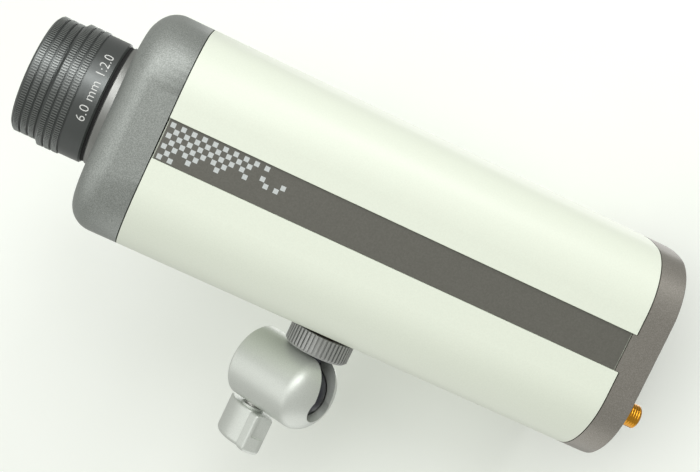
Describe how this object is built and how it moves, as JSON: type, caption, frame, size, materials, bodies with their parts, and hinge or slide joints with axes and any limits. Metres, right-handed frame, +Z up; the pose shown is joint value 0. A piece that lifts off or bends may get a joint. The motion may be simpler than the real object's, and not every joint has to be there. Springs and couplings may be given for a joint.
{
  "type": "ip security camera",
  "caption": "Box-shaped network security camera with a screw-in lens, rear antenna jack and connectors, on a lockable ball swivel head.",
  "frame": {"origin": "centre of the threaded socket's mouth, in the outer face of the swivel housing's closed end", "axes": "+X along the camera body from the lens to the rear panel, +Y to the camera's right-hand side seen from behind the lens, +Z up, away from the swivel head"},
  "size_m": [0.1843, 0.062, 0.1031],
  "materials": {
    "shell_white": "satin",
    "strip_grey": "satin",
    "bezel_grey": "satin",
    "bezel_warm_grey": "satin",
    "panel_grey": "matte",
    "screw_steel": "satin",
    "screw_black": "satin",
    "brass": "satin",
    "mount_steel": "brushed",
    "black_metal": "matte",
    "black_rubber": "matte",
    "lens_black": "satin",
    "lens_inner": "matte",
    "lens_glass": "polished",
    "board_green": "satin",
    "chip_black": "matte",
    "sink_aluminium": "satin",
    "can_steel": "satin",
    "connector_black": "satin",
    "terminal_green": "satin",
    "button_grey": "satin",
    "light_green": "gloss",
    "gold": "polished",
    "stud_steel": "satin",
    "ring_grey": "satin",
    "head_cast": "satin",
    "knob_cast": "satin"
  },
  "bodies": {
    "swivel_base": {"swivel_housing": "head_cast", "end_plug": "head_cast", "ball_pad": "stud_steel"},
    "clamp_knob": {"clamp_knob": "knob_cast", "clamp_screw": "stud_steel"},
    "stud": {"ball_stud": "stud_steel"},
    "lock_ring": {"lock_ring": "ring_grey"},
    "camera_body": {"upper_cover": "shell_white", "lower_cover": "shell_white", "side_strip_left": "strip_grey", "side_strip_right": "strip_grey", "front_bezel": "bezel_grey", "rear_bezel": "bezel_warm_grey", "rear_panel": "panel_grey", "cover_screws": "screw_steel", "bezel_screws": "screw_steel", "panel_screws": "screw_black", "tripod_bush": "brass", "lens_mount_ring": "mount_steel", "mount_ring_nut": "black_metal", "barrel_gasket": "black_rubber", "lens_barrel": "lens_black", "rear_lens": "lens_glass", "sensor_board": "board_green", "image_sensor": "chip_black", "sensor_screws": "screw_steel", "main_board": "board_green", "board_screws": "screw_steel", "processor": "chip_black", "heat_sink": "sink_aluminium", "wireless_module": "can_steel", "board_link": "connector_black", "io_board": "board_green", "standoffs": "brass", "lan_jack": "can_steel", "power_jack": "connector_black", "audio_jacks": "connector_black", "terminal_block": "terminal_green", "reset_switch": "connector_black", "status_lights": "light_green", "antenna_jack": "gold", "antenna_nut": "gold", "antenna_washer": "gold"},
    "focus_ring": {"focus_ring": "lens_black"},
    "lens_cell": {"lens_cell": "lens_inner", "front_lens": "lens_glass", "retaining_ring": "lens_inner"},
    "reset_button": {"reset_button": "button_grey"}
  },
  "joints": [
    {"name": "ball_tilt", "type": "hinge", "parent": "swivel_base", "child": "stud", "pos_m": [0.01333, -0.01119, 0], "axis": [0.6428, 0.766, 0], "range_deg": [0, 105]},
    {"name": "camera_pan", "type": "hinge", "parent": "stud", "child": "camera_body", "pos_m": [0.01333, -0.01119, 0.0146], "axis": [0, 0, 1], "range_deg": [-180, 180]},
    {"name": "lock_ring_turn", "type": "hinge", "parent": "stud", "child": "lock_ring", "pos_m": [0.01333, -0.01119, 0.0146], "axis": [0, 0, 1], "range_deg": [0, 90]},
    {"name": "clamp_knob_turn", "type": "hinge", "parent": "swivel_base", "child": "clamp_knob", "pos_m": [0.00483, -0.00405, -0.015], "axis": [0, 0, -1], "range_deg": [0, 180]},
    {"name": "focus_turn", "type": "hinge", "parent": "camera_body", "child": "focus_ring", "pos_m": [-0.08217, -0.01119, 0.0496], "axis": [1, 0, 0], "range_deg": [0, 270]},
    {"name": "lens_cell_slide", "type": "slide", "parent": "camera_body", "child": "lens_cell", "axis": [-1, 0, 0], "range_m": [0, 0.0012]},
    {"name": "reset_press", "type": "slide", "parent": "camera_body", "child": "reset_button", "axis": [-1, 0, 0], "range_m": [0, 0.0006], "stiffness_N_per_m": 800, "springref_m": -0.0006}
  ],
  "couplings": [
    {"joint": "lens_cell_slide", "follows": "focus_turn", "m_per_rad": 0.00025465}
  ]
}
